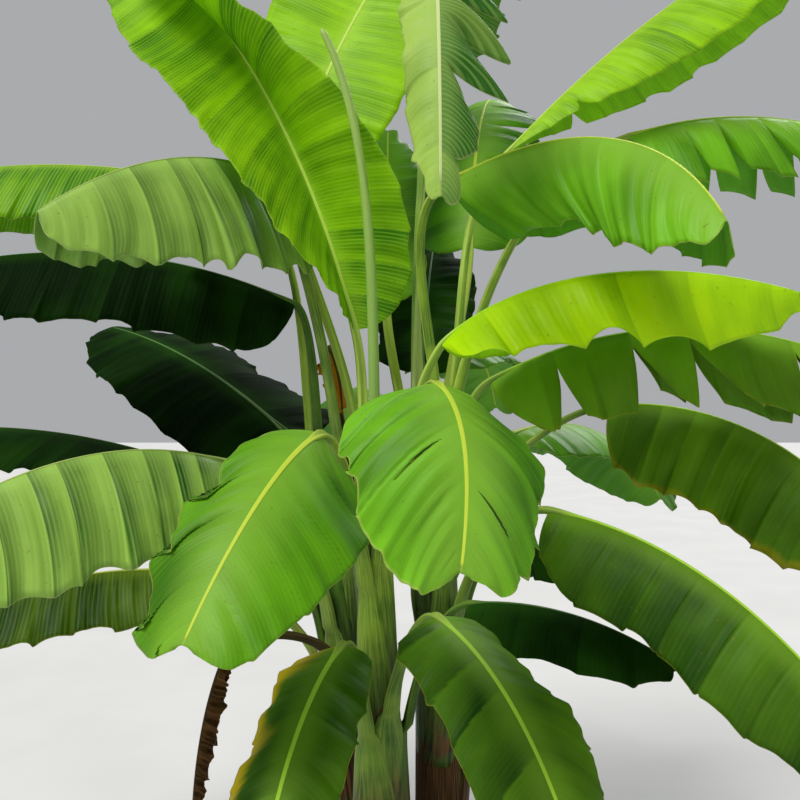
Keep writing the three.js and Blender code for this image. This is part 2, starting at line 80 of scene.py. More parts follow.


# Every leaf's name, look, stem, foot, start of its blade, rib and size, and then what is its own. A leaf's
# tone is painted light and shade over its own colour: low where it lies in shadow, high where it is lit,
# and one for each half where its halves are lit differently
LEAVES = [
    frond("upright_left", "young", "front", (1270, 115), (-118, 50, 1784), (150, 74, 44), (1450, 560),
        sweep=6, shoulder=0.3, roll=-15, roll_tip=-115, hang=-42, curl=0, wave=8, wide=[1.1, 0.93],
        tone=0.45, lean=[0.85, 0.35], columns=22, saw=1.8, hang_tip=[None, -110], split=None),
    frond("upright_back", "young", "left", (1270, 15), (-300, 250, 2310), (40, 68, 52), (1020, 500),
        roll=32, roll_tip=32, hang=[-10, 8], curl=0, tone=0.8, split=None),
    frond("arch_left", "dull", "left", (1240, 285), (-368, 172, 2219), (250, 2, -41), (754, 550),
        sweep=-31, bend=1.18, arrive=0.1, hang=[66, 62], wide=[1.15, 1], back=-12, shoulder=[0.09, 0.2],
        full=[0.23, 0.5], tip=[0.18, 0.25], roll=-1, roll_tip=-11, tone=0.9,
        slits=((1, 0.1, 0.2, 0.55, 8, True),), saw=0.9, scallop=[2.4, 1]),
    frond("far_left", "young", "left", (1260, 168), (-495, 300, 2210), (187, 15, -15), (900, 480),
        hang=50, tone=0),
    frond("shade_left", "shaded", "left", (1190, 235), (-285, 132, 1862), (187, 25, -20), (1060, 440),
        hang=[62, 40], arrive=0.1, shoulder=[0.12, 0.2], tone=0),
    frond("shade_back_left", "shaded", "left", (1040, 128), (-320, 260, 1500), (137, 30, 10),
        (1080, 500), roll=-18, roll_tip=-18, hang=20, tone=0.05, split=None),
    frond("mid_left", "dull", "left", (1000, 235), (-431, -50, 1445), (222, 18, -40), (800, 560),
        hang=62, tone=0.74, saw=1.2, scallop=[1.8, 1]),
    frond("mid_back_left", "shaded", "left", (950, 165), (-560, 200, 1404), (173, 20, -5), (850, 420),
        hang=30, tone=0.2),
    frond("low_left", "yellowed", "left", (850, 200), (-616, 100, 1144), (190, 5, -30), (600, 360),
        hang=45, tone=0.1, yellow=0.04),
    frond("front_left", "mature", "front", (1150, 245), (-176, -300, 1524), (250, -2, -54), (600, 430),
        sweep=-10, bend=0.53, roll=-32, roll_tip=-11, hang=[44, 13], wide=[1.14, 0.62], back=[-30, 26],
        ahead=[18, 30], shoulder=[0.32, 0.46], full=[0.2, 0.79], tip=[0.41, 0.48],
        folds=[(), (0.3, 0.5, 0.74, 0.93)], step=[0, 62], scallop=[1, 0.4], tone=[0.46, 0.5],
        lean=[-0.7, -0.5], columns=18, hang_tip=[12, 22]),
    frond("front_centre", "mature", "front", (1210, 285), (80, -350, 1636), (282, -9, -38), (664, 350),
        sweep=-23, bend=0.68, roll=-2, roll_tip=-20, hang=[18, 14], wide=[1, 1.41], back=[-17, 20],
        ahead=[13, 58], shoulder=[0.61, 0.44], full=[0.45, 0.21], tip=[0.4, 0.19],
        slits=((-1, 0.44, 0.2, 0.7, 9, True), (1, 0.68, 0.08, 0.62, 6, False)), lean=-1.2, columns=48,
        folds=[(0.3, 0.52, 0.68, 0.9), ()], step=[-16, 0], tone=[0.38, 0.84], scallop=[0.6, 1],
        hang_tip=[None, -22]),
    frond("skirt_left", "shaded", "front", (800, 245), (-130, -250, 1043), (252, -10, -65), (750, 240),
        sweep=12, hang=20, tone=0.28, yellow=[0.02, 0.42], skin="deep", lean=-0.4),
    frond("skirt_centre", "mature", "front", (850, 298), (85, -250, 1107), (298, -8, -55), (780, 300),
        sweep=-14, hang=15, wide=[0.85, 1], tone=[0.5, 0.28], skin="deep", lean=-0.5, columns=16),
    frond("low_right", "mature", "right", (1000, 317), (350, -200, 1344), (322, -5, -58), (880, 380),
        sweep=-10, hang=60, tone=0.14, skin="deep", saw=0.45),
    frond("mid_right", "dull", "right", (1150, 10), (582, 180, 1586), (335, 5, -62), (850, 500),
        sweep=-30, hang=65, tone=0.52, yellow=0.2, skin="deep", scallop=[1, 1.1], saw=0.25),
    frond("torn_right", "shaded", "right", (1250, 325), (231, 0, 1651), (352, 30, -35), (1080, 460),
        hang=70, tears=(0.16, 0.34, 0.47, 0.7), ahead=45, tone=0.85, yellow=0.05, skin="deep", gape=1.7),
    frond("bright_right", "young", "front", (1280, 340), (96, -200, 1728), (351, 55, -18), (835, 470),
        bend=0.55, hang=[30, 40], wide=[1, 0.79], back=[-10, 0], shoulder=[0.3, 0.07], full=[0.5, 0.54],
        roll=-1, roll_tip=21, tone=0.8, skin="bright", folds=[(), (0.15, 0.36, 0.52, 0.71, 0.93)],
        scallop=[1, 5], saw=2, hang_tip=[None, 85]),
    frond("arch_right", "mature", "right", (1390, 296), (118, -20, 2152), (324, 20, -52), (915, 500),
        sweep=-41, hang=[60, 85], wide=[1, 0.86], back=[-12, 26], ahead=[30, 45], shoulder=[0.2, 0.05],
        full=[0.5, 0.43], tip=[0.25, 0.16], roll=14, roll_tip=-3, tone=0.75,
        folds=[(), (0.2, 0.36, 0.52, 0.75)], scallop=[1, 2], lean=[0, -0.25], hang_tip=[None, 47]),
    frond("upright_right", "young", "right", (1530, 0), (291, 300, 2299), (15, 48, 28), (1450, 480),
        hang=[75, 45], shoulder=0.55, slender=3, full=0.6, tone=0.75,
        cuts=((1, 0.2, 0.45, 0.02), (-1, 0.2, 0.45, 0.02)), split=None),
    frond("torn_far_right", "mature", "right", (1450, 325), (690, 400, 2400), (7, 20, -20), (850, 520),
        hang=60, tears=(0.2, 0.33, 0.5, 0.62, 0.78), ahead=60, tone=0.8, gape=1.3, yellow=0.05),
    frond("overhead", "mature", "right", (1540, 110), (70, 150, 2500), (270, 86, -88), (1340, 340),
        bend=0.5, hang=[20, 50], wide=[1.25, 0.46], tears=(0.5, 0.58, 0.65, 0.72, 0.8),
        full=[0.42, 0.72], whole=[False, True], ahead=[50, 30], tip=[0.14, 0.3], split=0.28,
        tone=[0, 1], skin="pale", gape=1.5, cuts=((1, 0.93, 0.3, 0.11),), hang_tip=[None, 20]),
    frond("inner_back_low", "shaded", "right", (1390, 92), (60, 230, 1682), (84, 50, 30), (700, 300),
        hang=10, tone=0.2, split=None),
    frond("inner_back_high", "mature", "right", (1450, 150), (-40, 300, 1891), (90, 70, 50), (700, 220),
        hang=10, tone=0.25, split=None),
    frond("low_centre", "shaded", "front", (800, 5), (170, -90, 1100), (335, 10, -30), (500, 300),
        hang=40, tone=0.25, split=None),
    frond("back_upright", "mature", "right", (1480, 45), (210, 390, 2060), (78, 75, 15), (1000, 440),
        hang=20, tears=(0.35, 0.55, 0.72), tone=0.25, split=None),
    frond("back_centre", "mature", "right", (1290, 120), (120, 430, 1720), (72, 30, -50), (950, 380)),
    frond("back_right", "mature", "right", (1150, 65), (330, 330, 1500), (42, 15, -50), (900, 420),
        hang=30),
    frond("back_left", "mature", "left", (1130, 92), (-110, 520, 1600), (98, 20, -50), (900, 360),
        hang=30),
    frond("back_low", "mature", "left", (850, 88), (-150, 420, 1250), (102, 5, -60), (750, 360)),
    frond("back_low_right", "shaded", "right", (900, 40), (300, 260, 1180), (20, 0, -55), (700, 360),
        hang=30),
    frond("dead_left", "dead", "left", (900, 240), (-440, -40, 960), (200, -60, -88), (420, 90),
        bend=0.5, hang=50, wave=0, tone=0.05, split=None),
    frond("withered_back", "dead", "left", (1220, 52), (-200, 262, 1745), (300, -30, -85), (200, 110),
        bend=0.5, hang=60, wave=0, tone=0.9, yellow=1.5, split=None),
]

def strips(pleats, length, *rest):
    keys = ("droop", "reach", "tone", "nick", "arch", "saw")
    return Values(pleats=pleats, length=length, **dict(zip(keys, rest)))


# How each look of blade is pleated, in (spacing, height), and creased into strips: how long they are, how
# far they droop, how far their ends stand out, how much their tone differs, how deep they are nicked, how
# high they arch between two creases, and how far their tone runs from end to end. Both tones are painted
# light and shade, for how the pleats and folds catch the light
STRIPS = {
    "young": strips(((16, 0.5), (47, 1.0)), (70, 170), 3, 5, 0.16, 2, 8, 0.42),
    "mature": strips(((19, 0.35), (58, 1.2)), (80, 190), 4, 9, 0.1, 4, 11, 0.42),
    "dull": strips(((21, 0.5), (66, 2.2)), (60, 110), 6, 6, 0.2, 4, 13, 1.7),
    "shaded": strips(((20, 0.5), (60, 1.4)), (70, 160), 6, 8, 0.1, 5, 12, 0.2),
    "yellowed": strips(((19, 0.6), (50, 2.0)), (50, 120), 7, 9, 0.12, 6, 12, 0.4),
    "dead": strips(((14, 2.5), (38, 7.0)), (30, 70), 22, 9, 0.3, 10, 8, 0.3),
}
# No more strips than this, and no crease past this share of the blade
MOST_STRIPS = 80
LAST_CREASE = 0.97
NICK_WIDTH = 7
# The waves of a half's breadth and of its margin, and how much more a torn half droops and varies in tone
STRAY = ((190, 0.012),)
MARGIN = ((120, 4.5), (55, 2.0))
# A torn half's tone, painted light and shade, varies more from strip to strip
TORN = Values(droop=5, tone=2.5)
TIP = Values(start=0.965, length=0.035, blunt=0.25, narrowing=2.2)
# The rows of a blade's mesh are coarser where it faces away from the photograph
ROW_STEP = 3.6
BACK_ROW_STEP = 5.4
BACK_AZIMUTHS = (30, 150)
FEWEST_ROWS = 60
BLADE_THICK = 1.3
# How far apart two leaves' patterns are drawn, and how much further out a lower leaf's sheath lies
OFFSET_STEP = 3.0
LAYER = 0.9
# A stalk's tube: the points of its section, and its rings along the sheath, the stalk and the rib
SECTION = 20
SHEATH_RINGS = 16
STALK_RINGS = 26
RIB_RINGS = 60
RIB_END = 0.985
SHEATH = Values(longest=430, above_soil=60, shortest=0.7, spread=3.7, buried=3, inside=4)


# Numbers and shapes

def unit(vectors):
    return vectors / np.linalg.norm(vectors, axis=-1, keepdims=True)


def mix(a, b, share):
    return a + (b - a) * share


def smooth(value, low, high):
    share = np.clip((np.asarray(value, float) - low) / (high - low), 0, 1)
    return share * share * (3 - 2 * share)


def heading(azimuth, elevation):
    azimuth, elevation = np.broadcast_arrays(azimuth, elevation)
    level = np.cos(elevation)
    return np.stack([level * np.cos(azimuth), level * np.sin(azimuth), np.sin(elevation)], -1)


def frame_along(direction, azimuth, roll):
    across = np.stack([-np.sin(azimuth), np.cos(azimuth), 0 * azimuth], -1)
    up = unit(np.cross(direction, across))
    side = np.cross(up, direction)
    cosine, sine = np.cos(roll)[..., None], np.sin(roll)[..., None]
    return side * cosine + up * sine, up * cosine - side * sine


def ripple(along, waves, rng):
    """An uneven wave along a length: each of its parts has its own spacing, height and place."""
    total = np.zeros_like(along)
    for spacing, height in waves:
        place, drift = rng.uniform(0, 2 * np.pi, 2)
        wander = 0.9 * np.sin(2 * np.pi * along / (4.3 * spacing) + drift)
        total = total + height * np.sin(2 * np.pi * along / spacing + place + wander)
    return total


def pair(first, second):
    """Two numbers for each point of a mesh, as one UV map."""
    return np.stack([first, second], -1).reshape(-1, 2)


def link(name, data):
    made = bpy.data.objects.new(name, data)
    bpy.context.scene.collection.objects.link(made)
    return made


def make_mesh(name, points, faces, materials, uv=None):
    mesh = bpy.data.meshes.new(name)
    mesh.from_pydata([tuple(p) for p in np.asarray(points) * MM], [], faces)
    for material in materials:
        mesh.materials.append(material)
    loops = np.zeros(len(mesh.loops), np.int32)
    mesh.loops.foreach_get("vertex_index", loops)
    for label, values in (uv or {}).items():
        layer = mesh.uv_layers.new(name=label)
        layer.uv.foreach_set("vector", np.asarray(values, np.float32)[loops].ravel())
    mesh.polygons.foreach_set("use_smooth", np.ones(len(mesh.polygons), bool))
    mesh.update()
    return link(name, mesh)


def grid_faces(rows, columns, wrap=False):
    r, c = np.meshgrid(np.arange(rows - 1), np.arange(columns if wrap else columns - 1), indexing="ij")
    a = r * columns + c
    b = r * columns + (c + 1) % columns
    return np.stack([a, b, b + columns, a + columns], -1).reshape(-1, 4).tolist()


def tube(rings):
    """The points of a closed tube through rings of points, and its faces."""
    rings = np.asarray(rings)
    rows, columns = rings.shape[:2]
    faces = grid_faces(rows, columns, wrap=True)
    faces.append(list(range(columns))[::-1])
    faces.append([(rows - 1) * columns + i for i in range(columns)])
    return rings.reshape(-1, 3), faces


def finish_piece(piece, slot, *nodes):
    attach(piece, "root")
    if nodes:
        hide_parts(*nodes)


# The stems' own lines, which the stalks stand on

def stem_axis(stem, height):
    share = (np.asarray(height, float) - SOIL_TOP) / (stem.height - SOIL_TOP)
    foot, top = np.array(stem.foot, float), np.array(stem.top, float)
    level = foot + (top - foot) * share[..., None]
    return np.concatenate([level, np.asarray(height, float)[..., None]], -1)


def stem_radius(stem, height):
    above = np.asarray(height, float) - SOIL_TOP
    share = np.clip(above / (stem.height - SOIL_TOP), 0, 1)
    flare = FLARE.extra * np.clip(1 - above / FLARE.height, 0, None) ** 2
    return mix(stem.foot_radius, stem.top_radius, share ** 0.8) + flare


# Leaves

def eased(start, start_direction, end, end_direction, share, arrive=STALK.arrive):
    """The points and directions of an easy bend between two points and their directions."""
    span = np.linalg.norm(end - start)
    inner = start + start_direction * span * STALK.leave
    outer = end - end_direction * span * arrive
    s = share[:, None]
    place = start * (1 - s) ** 3 + 3 * inner * s * (1 - s) ** 2 + 3 * outer * s * s * (1 - s) + end * s ** 3
    slope = 3 * ((inner - start) * (1 - s) ** 2 + 2 * (outer - inner) * s * (1 - s) + (end - outer) * s * s)
    return place, unit(slope)


def halved(leaf, side):
    """The leaf for one of its halves: of each list of two it has only its own."""
    own = {key: value[side] for key, value in vars(leaf).items() if isinstance(value, list)}
    return Values(**{**vars(leaf), **own})


def outline(leaf, share):
    """How broad a half is at each share of its length, as a share of its broadest."""
    early = np.minimum(share / leaf.shoulder, 1)
    late = np.maximum((share - leaf.full) / (1 - leaf.full), 0)
    past = np.maximum(share - TIP.start, 0) / TIP.length
    ending = mix(TIP.blunt, 1, np.sqrt(np.clip(1 - past ** 2, 0, 1)))
    narrowed = 1 - (1 - leaf.tip) * late ** TIP.narrowing
    return np.sqrt(1 - (1 - early) ** 2) ** leaf.slender * narrowed * ending


def rib_of(leaf, share):
    """The rib's points, directions and frames along the blade."""
    steps = np.linspace(0, 1, 401)

    def turning(at):
        azimuth = np.radians(leaf.azimuth + leaf.sweep * at)
        elevation = np.radians(mix(leaf.lift, leaf.droop, at ** leaf.bend))
        return azimuth, elevation

    fine = heading(*turning((steps[1:] + steps[:-1]) / 2)) * leaf.length / 400
    walked = np.concatenate([np.zeros((1, 3)), np.cumsum(fine, 0)]) + leaf.start
    points = np.stack([np.interp(share, steps, walked[:, axis]) for axis in range(3)], -1)
    azimuth, elevation = turning(share)
    direction = heading(azimuth, elevation)
    side, up = frame_along(direction, azimuth, np.radians(mix(leaf.roll, leaf.roll_tip, share)))
    return points, direction, side, up


class Half:
    """One half of a blade, creased along its veins into strips that droop and reach unevenly."""

    def __init__(self, leaf, sign, share, rng):
        self.leaf = leaf = halved(leaf, 0 if sign > 0 else 1)
        self.sign, self.share, self.rng, self.style = sign, share, rng, STRIPS[leaf.look]
        self.columns = np.linspace(0, 1, leaf.columns + 1) ** 0.9
        length, shortest = leaf.length, self.style.length[0]
        places = np.cumsum(rng.uniform(*self.style.length, MOST_STRIPS)) - rng.uniform(0, shortest)
        self.torn = np.array(() if leaf.whole else leaf.tears) * length
        clear = [place for place in places if 0 < place < length * LAST_CREASE
                 and all(abs(place - torn) > shortest * 0.6 for torn in self.torn)]
        chosen = np.array(leaf.folds) * length if leaf.folds else clear
        self.creases = np.sort(np.concatenate([chosen, self.torn]))
        self.breadth = outline(leaf, share)
        kept = self.notched()
        stray = 1 + ripple(share * length, STRAY, rng)
        self.half = leaf.width / 2 * leaf.wide * self.breadth * kept * stray
        self.along = (share * length)[:, None] + leaf.lean * self.half[:, None] * self.columns
        self.calm = np.minimum(self.breadth * 2, 1) * np.minimum(kept * 1.4, 1)
        self.shape_strips()

    def shape_strips(self):
        """How each strip droops, reaches, takes painted light and shade, and steps over the one before it.
        """
        leaf, style, rng, stepped = self.leaf, self.style, self.rng, self.stepped
        count = len(self.creases) + 1
        within = self.within()
        arched = 4 * within * (1 - within)
        more_droop, more_tone = (TORN.droop, TORN.tone) if len(self.torn) else (0, 1)
        self.droop = stepped(rng.normal(0, style.droop, count) + more_droop, 9)
        # A strip's tone and its run from light to dark are painted light and shade of its fold
        tone = stepped(rng.uniform(-1, 1, count) * style.tone * more_tone, 5)
        run = stepped(rng.uniform(0.2, 1, count), 4) * leaf.saw * style.saw
        self.tone = leaf.tone + (tone + run * (0.5 - within))
        slant = stepped(rng.uniform(-0.4, 1, count), 4) * style.reach - leaf.step
        reach = stepped(rng.uniform(-1, 1, count) * style.reach, 5) + slant * (within - 0.5)
        arch = stepped(rng.uniform(0.4, 1.2, count), 5) * style.arch * leaf.scallop
        self.reach = reach - arch * arched
        depths = rng.uniform(0, 1, len(self.creases)) ** 2 * style.nick
        for place, depth in zip(self.creases, depths):
            self.reach = self.reach - depth * np.clip(1 - np.abs(self.along - place) / NICK_WIDTH, 0, 1)
        self.rise = 3.2 * (arched - 0.5) + 3 * (within - 0.5)

    def stepped(self, values, width):
        """One value for each strip, turning into the next across a crease."""
        total = np.full_like(self.along, values[0])
        for place, before, after in zip(self.creases, values, values[1:]):
            total = total + (after - before) * smooth(self.along, place - width / 2, place + width / 2)
        return total

    def within(self):
        """How far along its own strip each point lies, from 0 to 1."""
        edges = np.concatenate([[0], self.creases, [self.along.max() + 1]])
        strip = np.clip(np.searchsorted(edges, self.along, side="right") - 1, 0, len(edges) - 2)
        return np.clip((self.along - edges[strip]) / (edges[strip + 1] - edges[strip]), 0, 1)

    def notched(self):
        """What is left of the breadth at each row beside tears and cuts."""
        length, gape, rng = self.leaf.length, self.leaf.gape, self.rng
        along = self.share * length
        left = np.ones_like(self.share)
        for place, following in zip(self.torn, [*self.torn[1:], length * 1.1]):
            away = (along - place) / length
            width = gape * TEAR.half_width * np.where(away < 0, 0.55, rng.uniform(0.6, 1.5))
            opened = mix(TEAR.left, 1, np.clip(np.abs(away) / width, 0, 1) ** 0.7)
            slant = rng.uniform(0.05, 0.3) * gape
            run = np.clip((along - place) / (following - place), 0, 1)
            inside = (along > place) & (along < following)
            left = np.minimum(left, opened) * np.where(inside, 1 - slant * (1 - run), 1)
        for side, at, kept, half_width in self.leaf.cuts:
            if side == self.sign:
                away = np.clip(np.abs(self.share - at) / half_width, 0, 1)
                left = np.minimum(left, mix(kept, 1, away ** 0.6))
        return left

    def points(self, rib):
        """Its points, from the rib to the margin."""
        leaf, share, sign = self.leaf, self.share, self.sign
        points, direction, side, up = rib
        hang = mix(leaf.hang, leaf.hang if leaf.hang_tip is None else leaf.hang_tip, share)
        forward = np.tan(np.radians(mix(leaf.back, leaf.ahead, share ** 1.2)))
        turn = 2 * share + (0.3 if sign > 0 else 0)
        wave = leaf.wave * np.sin(2 * np.pi * turn) * self.breadth
        pleat = ripple(self.along, self.style.pleats, self.rng) + self.rise * self.style.arch / 12
        margin = ripple(self.along, MARGIN, self.rng)
        place = points + side * (sign * mix(RIB.wide_start, RIB.wide_end, share))[:, None] * 0.32
        out = [place]
        for j in range(1, len(self.columns)):
            before, column = self.columns[j - 1:j + 1]
            middle = (before + column) / 2
            angle = np.radians(hang + self.droop[:, j] * middle + (leaf.curl + 14) * (middle - 0.5))
            across = side * (sign * np.cos(angle))[:, None] - up * np.sin(angle)[:, None]
            normal = up * np.cos(angle)[:, None] + side * (sign * np.sin(angle))[:, None]
            place = place + across * (self.half * (column - before))[:, None]
            fold = pleat[:, j] * smooth(column, 0, 0.4) + margin[:, j] * column ** 3
            lift = wave * column ** 1.5 + fold * self.calm
            ahead = direction * (forward * self.half * column ** 1.6)[:, None]
            stands = across * (self.reach[:, j] * self.calm * column ** 4)[:, None]
            out.append(place + ahead + stands + normal * lift[:, None])
        return np.stack(out, 1)


def crescent(count, groove):
    """A stalk's section as (across, up) shares: round below, with a groove between two lips above."""
    ring = []
    for i in range(count):
        angle = math.pi * (1 - (2 * i + 1) / count)
        across, up = -math.cos(angle), math.sin(angle)
        if up > 0:
            up *= 1 - groove * math.exp(-(across / 0.5) ** 2)
        ring.append((across, up))
    return np.array(ring)


def ring_at(centre, side, up, section, wide, high):
    return centre + side * section[:, :1] * wide + up * section[:, 1:] * high


def sheath_rings(leaf, stem, section, outward, tangent):
    """The sheath's rings, from low inside the stem up to the stalk's foot, with their distance and part."""
    length = min(SHEATH.longest, leaf.foot - SOIL_TOP - SHEATH.above_soil)
    length = length * mix(SHEATH.shortest, 1, leaf.layer * SHEATH.spread % 1)
    turn = (np.arange(SECTION) + 0.5) / (SECTION / 2)
    inner = turn < 1
    place = 1 - 2 * np.where(inner, turn, 2 - turn)
    edge = mix(0.35, 1, 1 - np.abs(place) ** 6)
    made = []
    for s in np.arange(SHEATH_RINGS) / SHEATH_RINGS:
        height = leaf.foot - length * (1 - s)
        radius = float(stem_radius(stem, height))
        centre = stem_axis(stem, height)
        angle = math.radians(mix(105, 42, s ** 0.8)) * place
        thick = mix(-SHEATH.buried, mix(1.5, 6, s) + leaf.layer, float(smooth(s, -0.05, 0.35)))
        r = np.where(inner, radius - SHEATH.inside, radius + thick * edge)[:, None]
        ring = centre + (np.cos(angle)[:, None] * outward + np.sin(angle)[:, None] * tangent) * r
        oval = ring_at(centre + outward * (radius + thick * 0.4), tangent, outward, section, 22, -12)
        made.append((mix(ring, oval, float(smooth(s, 0.75, 1.15))), -length * (1 - s), s - 1))
    return made


def stalk_rings(leaf, stem, section, outward):
    """The stalk's rings from its foot to where the blade begins, with their distance and part."""
    foot_azimuth, azimuth = math.radians(leaf.foot_azimuth), math.radians(leaf.azimuth)
    reach = float(stem_radius(stem, leaf.foot)) + STALK.foot_high
    foot = stem_axis(stem, leaf.foot) + outward * reach
    share = np.linspace(0, 1, STALK_RINGS)
    place, slope = eased(foot, heading(foot_azimuth, math.radians(STALK.rise)), leaf.start,
                         heading(azimuth, math.radians(leaf.lift)), share, leaf.arrive)
    turn = (leaf.azimuth - leaf.foot_azimuth + 180) % 360 - 180
    side, up = frame_along(slope, foot_azimuth + np.radians(turn * share), np.radians(leaf.roll * share))
    wide = mix(STALK.foot_wide, STALK.end_wide, share) * (1 + 0.5 * (1 - smooth(share, 0, 0.3)))
    high = mix(STALK.foot_high, STALK.end_high, share)
    walked = np.concatenate([[0], np.cumsum(np.linalg.norm(np.diff(place, axis=0), axis=1))])
    return [(ring_at(place[k], side[k], up[k], section, wide[k], high[k]), walked[k], 0.0)
            for k in range(len(share))]


def rib_rings(leaf, section, share, rib, walked):
    """The rib's rings under the blade, flat on top, with their distance and part."""
    points, _, side, up = rib
    flat = crescent(SECTION, 0.3)
    flat[:SECTION // 2, 1] *= 0.25
    made = []
    for k in np.unique(np.linspace(0, len(share) - 1, RIB_RINGS).astype(int))[1:]:
        t = share[k]
        if t > RIB_END:
            break
        along = float(smooth(t, 0, 0.1))
        wide = mix(mix(STALK.end_wide, 7, along), 2.4, t ** 0.8)
        high = mix(STALK.end_high, 2.2, t ** 0.6)
        centre = points[k] + up[k] * along * 0.9
        ring = ring_at(centre, side[k], up[k], mix(section, flat, along), wide, high)
        made.append((ring, walked + t * leaf.length, along))
    return made


def stalk_piece(leaf, share, rib):
    """The sheath on the stem, the stalk and the rib under the blade, in one tapering tube."""
    stem = STEMS[leaf.stem]
    foot_azimuth = math.radians(leaf.foot_azimuth)
    outward, tangent = heading(foot_azimuth, 0.0), heading(foot_azimuth + math.pi / 2, 0.0)
    section = crescent(SECTION, 0.95)
    made = sheath_rings(leaf, stem, section, outward, tangent) + stalk_rings(leaf, stem, section, outward)
    made += rib_rings(leaf, section, share, rib, made[-1][1])
    rings, distances, parts = zip(*made)
    around = np.tile((np.arange(SECTION) + 0.5) / SECTION, len(rings))
    uv = {
        "run": pair(around, np.repeat(np.array(distances) * MM, SECTION) + leaf.offset),
        "part": pair(np.repeat(parts, SECTION), around),
    }
    return make_mesh(leaf.name + "_stalk", *tube(rings), [STALK_MATERIALS[leaf.skin]], uv)


def blade_piece(leaf, share, rib, rng):
    halves = [Half(leaf, sign, share, rng) for sign in (1, -1)]

    def joined(values):
        left, right = values
        return np.concatenate([left[:, ::-1], right], 1)

    points = joined([half.points(rib) for half in halves])
    rows, across = points.shape[:2]
    signed = joined([np.tile(half.columns * half.sign, (rows, 1)) for half in halves])
    out = joined([half.half[:, None] * half.columns for half in halves])
    along = joined([half.along for half in halves]) * MM
    tone = joined([half.tone for half in halves])
    yellow = joined([np.full_like(half.along, half.leaf.yellow) for half in halves])
    whole = np.full((rows - 1, across - 1), True)
    # The seam map marks each slit for its painted shade; only a slit that splits is cut open
    seam = np.zeros(signed.shape + (2,)) + (1, 0)
    for side, at, first, last, width, split in leaf.slits:
        near = signed * side > 0
        opened = width / 2 * np.sin(np.pi * np.clip((signed * side - first) / (last - first), 0, 1))
        vein = along / MM - at * leaf.length
        seam[near] = np.stack([vein, opened], -1)[near] * MM
        if split:
            away = np.abs(vein[1:, 1:] + vein[:-1, :-1]) / 2
            whole &= (away > opened[1:, 1:]) | ~near[1:, 1:]
    uv = {
        "veins": pair(along + leaf.offset, signed),
        "place": pair(tone, out * MM),
        "age": pair(yellow, 0 * yellow),
        "seam": seam.reshape(-1, 2),
    }
    faces = [face for face, kept in zip(grid_faces(rows, across), whole.ravel()) if kept]
    materials = BLADE_MATERIALS[leaf.skin]
    piece = make_mesh(leaf.name + "_blade", points.reshape(-1, 3), faces, materials, uv)
    thicken = piece.modifiers.new("thickness", "SOLIDIFY")
    thicken.thickness, thicken.offset = BLADE_THICK * MM, 0
    thicken.material_offset, thicken.material_offset_rim = 1, 0
    return piece


def nodes_of(leaf):
    """The solids that the blade stands for, and those that the stalk stands for."""
    whole, blade, stalk = (part + leaf.name for part in ("leaf_", "blade_", "stalk_"))
    if leaf.split is None:
        return [whole], []
    return ([blade], [stalk]) if leaf.split == 0 else ([blade, stalk], [])


def build_leaf(leaf, index):
    rng = np.random.default_rng(SEED + index)
    low, high = BACK_AZIMUTHS
    step = BACK_ROW_STEP if low < leaf.azimuth < high else ROW_STEP
    share = np.linspace(0, 1, max(FEWEST_ROWS, int(leaf.length / step)) + 1)
    rib = rib_of(leaf, share)
    blade_nodes, stalk_nodes = nodes_of(leaf)
    slot = "leaf_" + leaf.look
    finish_piece(blade_piece(leaf, share, rib, rng), slot, *blade_nodes)
    finish_piece(stalk_piece(leaf, share, rib), slot, *stalk_nodes)


# Materials

def colour(text):
    """A colour written as six hexadecimal digits, as the shader's own linear numbers."""
    parts = [int(text[i:i + 2], 16) / 255 for i in (0, 2, 4)]
    return tuple(p / 12.92 if p <= 0.04045 else ((p + 0.055) / 1.055) ** 2.4 for p in parts) + (1,)


